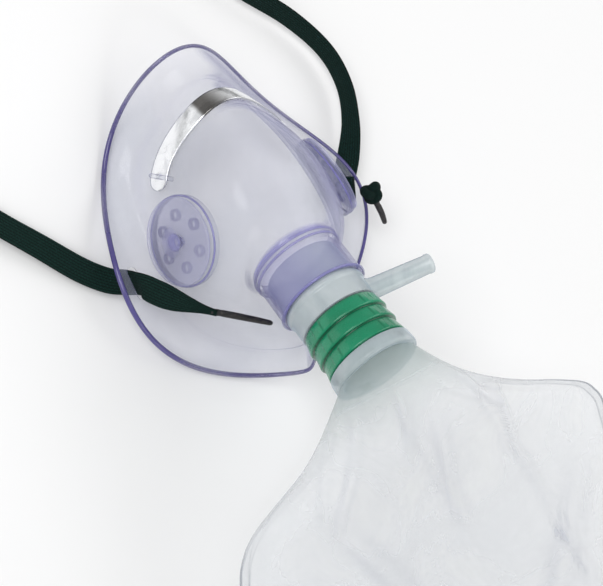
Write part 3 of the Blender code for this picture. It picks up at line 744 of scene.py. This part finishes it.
def apply_modifiers(obj):
    """The modifiers' result becomes the mesh, and the tools they used are removed."""
    graph = bpy.context.evaluated_depsgraph_get()
    graph.update()
    tools = [m.object for m in obj.modifiers if m.type == "BOOLEAN"]
    mesh = bpy.data.meshes.new_from_object(obj.evaluated_get(graph), preserve_all_data_layers=True, depsgraph=graph)
    obj.modifiers.clear()
    old, obj.data = obj.data, mesh
    mesh.name = obj.name
    mesh.shade_smooth()
    bpy.data.meshes.remove(old)
    for tool in tools:
        bpy.data.objects.remove(tool)


def make_port(side):
    """A raised plate with a rolled edge, small eyelets round it, and the stud of the disc."""
    word = "left" if side < 0 else "right"
    place, axes = port_frame(side)
    vinyl = material(clear_vinyl)
    plate = mm(((-3.4, 14.3), (-3.4, 14.9), (-0.1, 14.9), (-0.1, 1.2), (-0.9, 1.2), (-0.9, 14.3)))
    on_shell(turned(f"{word}_port_plate", rounded_profile(plate, 0.4 * MM), place, axes, vinyl))
    turn = circle(96)
    ring = place + 14.7 * MM * (np.cos(turn)[:, None] * axes[0] + np.sin(turn)[:, None] * axes[1]) - axes[2] * 1.2 * MM
    on_shell(tube(f"{word}_port_edge", ring, 0.35 * MM, vinyl, 8, closed=True, up=axes[2]), 0.85)
    eyelet = rounded_profile(mm(((-1.5, 1.3), (-1.5, 2.0), (-0.02, 2.0), (-0.02, 1.3))), 0.25 * MM)
    for k in range(VENTS):
        turn = 2 * math.pi * (k + 0.5) / VENTS
        centre = place + VENT_RING_R * (math.cos(turn) * axes[0] + math.sin(turn) * axes[1])
        on_shell(turned(f"{word}_vent_{k}", eyelet, centre, axes, vinyl, 32), 0.6)
    stud = mm((
        (-1, 0.001), (-1, 1.5), (1.9, 1.5), (2.0, 2.0), (2.0, 2.7), (2.3, 2.9), (2.6, 2.7), (2.85, 1.9), (2.9, 0.9),
        (2.9, 0.001),
    ))
    on_shell(turned(f"{word}_stud", stud, place, axes, vinyl, 40, close=False), 0.6)


def make_disc(side):
    """A thin disc with a bead at its edge and a low ring round its hole."""
    word = "left" if side < 0 else "right"
    place, axes = port_frame(side)
    section = mm((
        (0.3, 1.95), (0.82, 1.95), (0.9, 2.6), (0.88, 3.4), (0.8, 4.4), (0.78, 12.4), (0.95, 13.2), (1.15, 13.8),
        (1.1, 14.3), (0.8, 14.45), (0.45, 14.4), (0.3, 13.9),
    ))
    disc = turned(f"{word}_disc", section, place, axes, material(soft_silicone), 120)
    own(disc, f"{word}_valve", "clear_silicone", f"{word}_exhalation_disc")


def make_nose_clip():
    """A ribbon that follows the wall with rounded ends and a dimple near each, with a dark reflection painted into its
    colour over the bridge.
    """
    steps, wide = 160, 17
    angles = np.linspace(-CLIP_HALF_ANGLE, CLIP_HALF_ANGLE, steps)
    middle = CLIP_SHARE - CLIP_DROP * (angles / CLIP_HALF_ANGLE) ** 2
    spot = mask_surface(angles, middle)
    along = unit(np.gradient(spot, axis=0))
    out = surface_outward(angles, middle)
    out = out * np.sign((out * (spot - TURRET_BASE)).sum(1))[:, None]
    across = unit(np.cross(along, out))
    square = np.cross(across, along)
    out = square * np.sign((square * out).sum(1))[:, None]
    length = np.concatenate([[0], np.cumsum(np.linalg.norm(np.diff(spot, axis=0), axis=1))])
    from_end = np.minimum(length, length[-1] - length)
    half = settings().clip_width / 2
    round_end = np.sqrt(np.clip(1 - (1 - np.clip(from_end / half, 0, 1)) ** 2, 0.0004, 1))
    u = np.linspace(-1, 1, wide)
    dimple = 0.35 * MM * np.exp(-(((from_end[:, None] - 5 * MM) ** 2 + (u[None] * half) ** 2) / (1.1 * MM) ** 2))
    crown = 0.12 * MM * (1 - u**2)[None]
    base = spot[:, None] + across[:, None] * (u[None, :, None] * (half * round_end)[:, None, None])
    top = base + out[:, None] * (1.5 * MM + crown - dimple)[..., None]
    low = base + out[:, None] * 0.9 * MM
    points = np.concatenate([top, low[:, ::-1]], 1)
    degrees = np.degrees(angles)
    # Painted dark reflection over the bridge.
    painted_dark_reflection = smooth((degrees + 16) / 3) * smooth((13 - degrees) / 22)
    painted_dark_reflection = painted_dark_reflection[:, None] + 0 * points[..., 0]
    metal = material(rolled_aluminium)
    clip = mesh_from_grid("nose_strip", points, metal, closed=True, caps=True, values={"painted_dark_reflection": painted_dark_reflection})
    own(weld(clip), "mask", "aluminium", "nose_clip")
    arc = np.linspace(-1, 1, 24)
    height = 2.3 * MM * (1 - np.abs(arc) ** 4) - 0.2 * MM
    at = 9  # both loops stand over this step of the ribbon, near its left end
    loop = spot[at] + across[at] * (arc * 5.4 * MM)[:, None] + out[at] * height[:, None]
    for word in ("left", "right"):
        on_shell(tube(f"{word}_clip_loop", loop, 0.75 * MM, material(clear_vinyl), 12, up=out[at]))


def on_axis(name, outline, radius):
    """A part turned about the connector's axis from an outline in millimetres whose corners are rounded."""
    profile = rounded_profile(mm(outline), radius)
    return turned(name, profile, TURRET_BASE, (SIDE_AXIS, UP_AXIS, AXIS), material(milky_plastic), 128)


def make_adapter():
    """The turned tube with its stop lip, and the nozzle: a tapered pipe with a flared root and an open bore."""
    outline = (
        (5, 12.4), (5, 13.1), (18.3, 13.4), (18.5, 13.9), (18.5, 14.4), (19.9, 14.5), (20.6, 13.9), (27, 13.8),
        (27, 11.8), (46, 11.8), (46, 10.7), (25.8, 10.7), (18.4, 11.2), (5, 11.2),
    )
    own(on_axis("adapter_tube", outline, 0.4 * MM), "connector", "milky_plastic", "adapter")
    pipe = mm((
        (12.6, 4.6), (13.6, 4.3), (14.6, 3.75), (16, 3.55), (24, 3.4), (34.8, 3.15), (35.1, 3.35), (36.2, 3.3),
        (36.5, 3.0), (36.5, 1.8), (36.2, 1.65), (12.6, 1.65),
    ))
    round_it = SIDE_AXIS * math.cos(NOZZLE_TURN) + UP_AXIS * math.sin(NOZZLE_TURN)
    way = round_it * math.cos(NOZZLE_LEAN) + AXIS * math.sin(NOZZLE_LEAN)
    start = TURRET_BASE + AXIS * NOZZLE_AT
    nozzle = turned("oxygen_nozzle", pipe, start, axes_along(way), material(milky_plastic), 48)
    own(nozzle, "connector", "milky_plastic")


def turned_by(turn, centre):
    """How far each angle is from centre, in degrees, the short way round."""
    return np.degrees(np.angle(np.exp(1j * (turn - math.radians(centre)))))


def make_collar():
    """Three flaring bands; each carries raised pads round it and a groove below it. Its colour attribute is painted
    shade:
    1 in the grooves, rising at the pads' edges and in the mould line's notch."""
    # The third column is painted shade, 1 down in each groove.
    band_rows = (
        (0.02, 13.35, 1), (0.25, 13.5, 0.75), (0.6, 13.62, 0.25), (1.4, 13.75, 0), (4.3, 14.35, 0),
        (4.75, 14.45, 0), (5.05, 14.3, 0.1), (5.2, 13.7, 0.8),
    )
    rows = [(COLLAR_START + band * BAND_LENGTH + a, r, painted_recess_shade) for band in range(BANDS) for a, r, painted_recess_shade in band_rows]
    rows += [(43.3, 13.6, 0.5), (43.3, 13.1, 1), (27.4, 13.1, 1), (27.42, 13.35, 1)]
    along, radius, painted_shade = np.array(rows).T[:, :, None]
    turn = circle(288)
    pads = np.max([smooth((5 - np.abs(turned_by(turn, at))) / 0.8) for at in (150, 158, 238, 330, 20, 75)], 0)
    seam = hump(turned_by(turn, 62), 1.2)
    share = ((along - COLLAR_START) % BAND_LENGTH) / BAND_LENGTH
    on_band = smooth((share - 0.12) / 0.08) * smooth((0.84 - share) / 0.06) * (radius > 13.55)
    # Painted shade rises at the pads' edges and in the mould line's notch.
    painted_recess_shade = np.clip(painted_shade + (0.9 * np.abs(np.gradient(pads)) + 0.6 * seam) * on_band, 0, 1)
    radius = (radius + 0.3 * (pads - seam) * on_band) * MM
    local = np.stack([radius * np.cos(turn), radius * np.sin(turn), along * MM + 0 * radius], -1)
    points = placed(local, TURRET_BASE, (SIDE_AXIS, UP_AXIS, AXIS))
    collar = mesh_from_grid("green_collar", points, material(green_plastic), closed=True, values={"painted_shade": painted_recess_shade})
    own(weld(collar), "collar", "green_plastic", "lock_ring")


def make_cuff():
    """The bag's sleeve and flange, with a rolled lip."""
    outline = (
        (27.5, 12.1), (27.5, 12.7), (43.6, 12.7), (43.6, 14.8), (47.6, 15.1), (48.4, 14.6), (48.4, 12.6), (47.4, 12.1),
    )
    own(on_axis("bag_flange", outline, 0.5 * MM), "connector", "milky_plastic", "bag_cuff")


def bag_width(along, stations):
    """Half the bag's width on one side: it fans out from the neck over a rounded shoulder. The curve is
    straight between the stations and is then averaged over 5 mm."""
    nearby = along[:, None] / MM + np.linspace(-2.5, 2.5, 11)
    width = np.interp(nearby, *np.array(stations, float).T).mean(1) * MM
    rest = np.clip((settings().bag_length - along) / (26 * MM), 0, 1)
    return width * settings().bag_half_width / FULL_HALF_WIDTH * (0.66 + 0.34 * np.sqrt(1 - (1 - rest) ** 2))


def bag_line(along):
    """The bag's middle line, the directions across it and off its face, and the way that its flat part runs.
    The line leaves the flange on the connector's axis and bends into the slope on a Bezier curve."""
    hinge = unit(JOINTS["bag_neck_bend"]["axis"])
    level = unit(np.cross(hinge, (0, 0, 1)))
    level = level * -np.sign(level[1])
    way = unit(level * math.cos(BAG_SLOPE) + np.array((0, 0, -math.sin(BAG_SLOPE))))
    bend_end, handle = 22 * MM, 12 * MM
    s = np.clip((along - BAG_NECK_START) / (bend_end - BAG_NECK_START), 0, 1)[:, None]
    a, d = TURRET_BASE + AXIS * (60 * MM + BAG_NECK_START), BAG_PIVOT + way * bend_end
    b, c = a + AXIS * handle, d - way * handle
    centre = (1 - s) ** 3 * a + 3 * s * (1 - s) ** 2 * b + 3 * s**2 * (1 - s) * c + s**3 * d
    centre = centre + way * np.maximum(along - bend_end, 0)[:, None]
    tangent = unit(np.gradient(centre, axis=0))
    side = unit(np.broadcast_to(hinge, tangent.shape) - (tangent @ hinge)[:, None] * tangent)
    normal = np.cross(side, tangent)
    face = np.cross(hinge, way)
    return centre, side, normal * np.sign(normal @ (face * np.sign(face[2])))[:, None], way


def make_bag():
    """Two films as one loft: a round neck that leaves the flange, bends to the bag's slope and flattens.
    Each section is x = w cos t, z = h sin t, to which ridges are added: a Gaussian across each fold."""
    length = settings().bag_length
    rounding = length - 27 * MM * (1 - np.sin(np.linspace(0.02, math.pi / 2, 26)))
    flat = np.linspace(41.5 * MM, length - 28 * MM, 110)
    along = np.concatenate([np.linspace(BAG_NECK_START, 40 * MM, 90), flat, rounding])
    centre, side, normal, way = bag_line(along)
    turn = (np.arange(BAG_AROUND) + 0.5) * 2 * math.pi / BAG_AROUND
    across = np.sign(np.cos(turn)) * np.abs(np.cos(turn)) ** 0.85
    width = np.where(across > 0, bag_width(along, BAG_LEFT)[:, None], bag_width(along, BAG_RIGHT)[:, None])
    x, edge = width * across, width * (1 - np.abs(across))
    flatten = smooth((along + 7 * MM) / (46 * MM))
    height = BAG_NECK_R + (BAG_HALF_THICK - BAG_NECK_R) * flatten
    height = height * (0.35 + 0.65 * smooth((length - along) / (50 * MM)))
    z = height[:, None] * np.sign(np.sin(turn)) * np.abs(np.sin(turn)) ** 0.9
    loose = smooth((along - 2 * MM) / (26 * MM))[:, None]
    z = z * (1 - 0.86 * loose * (1 - smooth((edge - 3.2 * MM) / (7 * MM))))
    lift, painted_crease_shade = bag_creases(x / MM, along[:, None] / MM, edge / MM)
    z = z + lift * MM
    points = centre[:, None] + side[:, None] * x[..., None] + normal[:, None] * z[..., None]
    seal = 0.35 * smooth(along / (12 * MM))[:, None] * smooth((4.2 * MM - edge) / (0.8 * MM))
    seal = seal + loose * (0.5 * hump(edge - 3.6 * MM, 0.5 * MM) + 0.7 * smooth((1.2 * MM - edge) / (0.7 * MM)))
    neck = smooth((10 * MM - along) / (22 * MM))[:, None] + 0 * x
    looks = {"weld": np.clip(seal, 0, 1), "painted_crease_shade": painted_crease_shade, "neck": neck}
    bag = mesh_from_grid("film_bag", points, material(bag_film), closed=True, values=looks)
    close_far_end(bag, len(along), BAG_AROUND)
    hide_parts("reservoir_bag")
    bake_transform(bag)


def bag_creases(x, y, edge):
    """Height in mm of the ridges and valleys, with slow swells between them, and the strength of the shade painted
    along the sides of each ridge. x, y and the distance from the edge are in mm."""
    lift, lines = 0 * x, 0 * x
    for x0, y0, x1, y1, wide, tall in CREASES:
        run = np.array((x1 - x0, y1 - y0), float)
        long = np.hypot(*run)
        t = ((x - x0) * run[0] + (y - y0) * run[1]) / long**2
        off = ((x - x0) * run[1] - (y - y0) * run[0]) / long + 0.35 * np.sin(t * 5 + x0)
        fade = smooth((t + 0.15) / 0.3) * smooth((1.15 - t) / 0.3)
        lift = lift + tall * 1.2 * fade * hump(off, wide)
        # Painted shade along each ridge's sides, heavier on one side than the other.
        lines = lines + fade * (0.55 * hump(off - 0.6 * wide, 0.35 * wide) + 0.25 * hump(off + 0.7 * wide, 0.5 * wide))
    swell = 0.8 * np.sin(x / 21 + 0.6) * np.sin(y / 34 + 1.2) + 0.5 * np.sin((x + y) / 13)
    calm = 0.5 * smooth(y / 24) * smooth(edge / 9)
    off_neck = smooth((y + 9) / 14)
    return lift * off_neck * smooth(edge / 5) + swell * calm, np.clip(lines * off_neck, 0, 1)


def close_far_end(bag, rows, columns):
    """Joins the two films across the far end, point to point, and turns the faces outwards."""
    work = bmesh.new()
    work.from_mesh(bag.data)
    work.verts.ensure_lookup_table()
    last = [work.verts[(rows - 1) * columns + k] for k in range(columns)]
    for k in range(columns // 2 - 1):
        corners = (last[k], last[k + 1], last[columns - 2 - k], last[columns - 1 - k])
        work.faces.new(corners)
    bmesh.ops.recalc_face_normals(work, faces=work.faces)
    work.to_mesh(bag.data)
    work.free()
    bag.data.shade_smooth()


def finish_inner_parts():
    """The inhalation valve keeps its CAD shape and takes the connector's finishes."""
    for node, finish in (("inhalation_seat", milky_plastic), ("inhalation_disc", soft_silicone)):
        obj = frame["nodes"][node]
        obj.data.materials.clear()
        obj.data.materials.append(material(finish))


def make_floor():
    """A wide pale floor, half a millimetre below height zero."""
    size = 3.0
    grid = np.linspace(-size, size, 9)
    x, y = np.meshgrid(grid, grid)
    points = np.stack([x, y, np.full_like(x, -0.0005)], -1)
    floor = mesh_from_grid("floor", points, material(pale_floor))


def make_lights():
    """Even white surroundings and three soft lights turned to the mask."""
    bpy.context.scene.view_settings.view_transform = "Standard"
    world = bpy.data.worlds.new("studio")
    bpy.context.scene.world = world
    world.use_nodes = True
    world.node_tree.nodes["Background"].inputs["Color"].default_value = (1, 1, 1, 1)
    world.node_tree.nodes["Background"].inputs["Strength"].default_value = settings().sky
    for name, place, size, power in (
        ("key_light", (-0.55, 0.5, 1.0), 0.7, 11.0), ("fill_light", (0.8, 0.1, 0.9), 0.9, 6.0),
        ("front_light", (0.05, -0.9, 0.9), 0.6, 5.0),
    ):
        light = bpy.data.lights.new(name, "AREA")
        light.shape, light.size, light.energy = "DISK", size, power * settings().light_power
        obj = bpy.data.objects.new(name, light)
        bpy.context.scene.collection.objects.link(obj)
        obj.location = Vector(place)
        obj.rotation_euler = (Vector(SLOT_LINE) - Vector(place)).to_track_quat("-Z", "Y").to_euler()


# --- Operators, settings and panel -----------------------------------------------------------------


class OxygenMaskSettings(bpy.types.PropertyGroup):
    """Sizes, colours and view that a user would change."""

    wall: bpy.props.FloatProperty(
        name="Wall", description="Thickness of the soft shell", default=0.0012, unit="LENGTH")
    clip_width: bpy.props.FloatProperty(
        name="Clip width", description="Width of the nose strip", default=0.008, unit="LENGTH")
    strap_width: bpy.props.FloatProperty(
        name="Strap width", description="Width of the elastic", default=0.0084, unit="LENGTH")
    strap_thickness: bpy.props.FloatProperty(
        name="Strap thickness", description="Thickness of the elastic", default=0.0013, unit="LENGTH")
    bag_half_width: bpy.props.FloatProperty(
        name="Bag half width", description="Half the width of the bag", default=0.081, unit="LENGTH")
    bag_length: bpy.props.FloatProperty(
        name="Bag length", description="From the neck's bend to the far seam", default=0.278, unit="LENGTH")
    vinyl_colour: bpy.props.FloatVectorProperty(
        name="Vinyl", description="Tint of the shell", default=(0.62, 0.66, 0.79), subtype="COLOR")
    milky_colour: bpy.props.FloatVectorProperty(
        name="Connector", description="Milky plastic", default=(0.68, 0.74, 0.76), subtype="COLOR")
    collar_colour: bpy.props.FloatVectorProperty(
        name="Collar", description="Green of the collar", default=(0.0, 0.27, 0.13), subtype="COLOR")
    film_colour: bpy.props.FloatVectorProperty(
        name="Film", description="Frosted film", default=(0.79, 0.805, 0.82), subtype="COLOR")
    strap_colour: bpy.props.FloatVectorProperty(
        name="Strap", description="Dark green elastic", default=(0.003, 0.021, 0.0165), subtype="COLOR")
    lens: bpy.props.FloatProperty(name="Lens", description="Focal length in mm", default=76.2)
    view_distance: bpy.props.FloatProperty(
        name="Distance", description="From the mask to the camera", default=0.44, unit="LENGTH")
    view_from: bpy.props.FloatVectorProperty(
        name="View from", description="Direction from the mask to the camera", default=(-0.451, 0.053, 0.891))
    view_back: bpy.props.FloatVectorProperty(
        name="View back", description="Opposite to the line of sight", default=(-0.4728, 0.1158, 0.8764))
    view_up: bpy.props.FloatVectorProperty(
        name="View up", description="Up in the picture", default=(0.37, 0.919, 0.133))
    sky: bpy.props.FloatProperty(
        name="Sky", description="Strength of the even white surroundings", default=0.46)
    light_power: bpy.props.FloatProperty(
        name="Light power", description="Scales the three soft lights", default=0.62)


class OXYGEN_OT_cords(bpy.types.Operator):
    """Makes the camera, then the head strap with its knot and tips"""

    bl_idname = "oxygen_mask.cords"
    bl_label = "Camera and head strap"

    def execute(self, context):
        make_camera()
        make_strap()
        return {"FINISHED"}


class OXYGEN_OT_shell(bpy.types.Operator):
    """Makes the clear shell with its rim, turret rings and slots"""

    bl_idname = "oxygen_mask.shell"
    bl_label = "Mask shell"

    def execute(self, context):
        make_shell()
        make_rim_and_rings()
        return {"FINISHED"}


class OXYGEN_OT_valves(bpy.types.Operator):
    """Makes both exhalation ports with their discs"""

    bl_idname = "oxygen_mask.valves"
    bl_label = "Exhalation valves"

    def execute(self, context):
        for side in (-1, 1):
            make_port(side)
            make_disc(side)
        return {"FINISHED"}


class OXYGEN_OT_nose_clip(bpy.types.Operator):
    """Makes the aluminium nose strip and the loops that hold it"""

    bl_idname = "oxygen_mask.nose_clip"
    bl_label = "Nose clip"

    def execute(self, context):
        make_nose_clip()
        return {"FINISHED"}


class OXYGEN_OT_connector(bpy.types.Operator):
    """Makes the adapter, nozzle, collar and cuff, and finishes the inner valve"""

    bl_idname = "oxygen_mask.connector"
    bl_label = "Connector"

    def execute(self, context):
        make_adapter()
        make_collar()
        make_cuff()
        finish_inner_parts()
        return {"FINISHED"}


class OXYGEN_OT_bag(bpy.types.Operator):
    """Makes the film bag"""

    bl_idname = "oxygen_mask.bag"
    bl_label = "Reservoir bag"

    def execute(self, context):
        make_bag()
        return {"FINISHED"}


class OXYGEN_OT_stage(bpy.types.Operator):
    """Makes the floor and the lights"""

    bl_idname = "oxygen_mask.stage"
    bl_label = "Stage"

    def execute(self, context):
        make_floor()
        make_lights()
        return {"FINISHED"}


OPERATORS = (
    OXYGEN_OT_cords, OXYGEN_OT_shell, OXYGEN_OT_valves, OXYGEN_OT_nose_clip, OXYGEN_OT_connector, OXYGEN_OT_bag,
    OXYGEN_OT_stage,
)


class OXYGEN_PT_panel(bpy.types.Panel):
    """Lists the pieces in the order they are made"""

    bl_label = "Oxygen mask"
    bl_space_type = "VIEW_3D"
    bl_region_type = "UI"
    bl_category = "Oxygen mask"

    def draw(self, context):
        for name in OxygenMaskSettings.__annotations__:
            self.layout.prop(context.scene.oxygen_mask, name)
        for operator in OPERATORS:
            self.layout.operator(operator.bl_idname)


def register():
    """Adds the settings, the operators and the panel."""
    for kind in (OxygenMaskSettings, *OPERATORS, OXYGEN_PT_panel):
        bpy.utils.register_class(kind)
    bpy.types.Scene.oxygen_mask = bpy.props.PointerProperty(type=OxygenMaskSettings)


def unregister():
    """Takes away what register added."""
    del bpy.types.Scene.oxygen_mask
    for kind in reversed((OxygenMaskSettings, *OPERATORS, OXYGEN_PT_panel)):
        bpy.utils.unregister_class(kind)


def main():
    """Runs the operators in order."""
    register()
    for operator in OPERATORS:
        getattr(bpy.ops.oxygen_mask, operator.bl_idname.split(".")[1])()


if __name__ == "__main__":
    main()
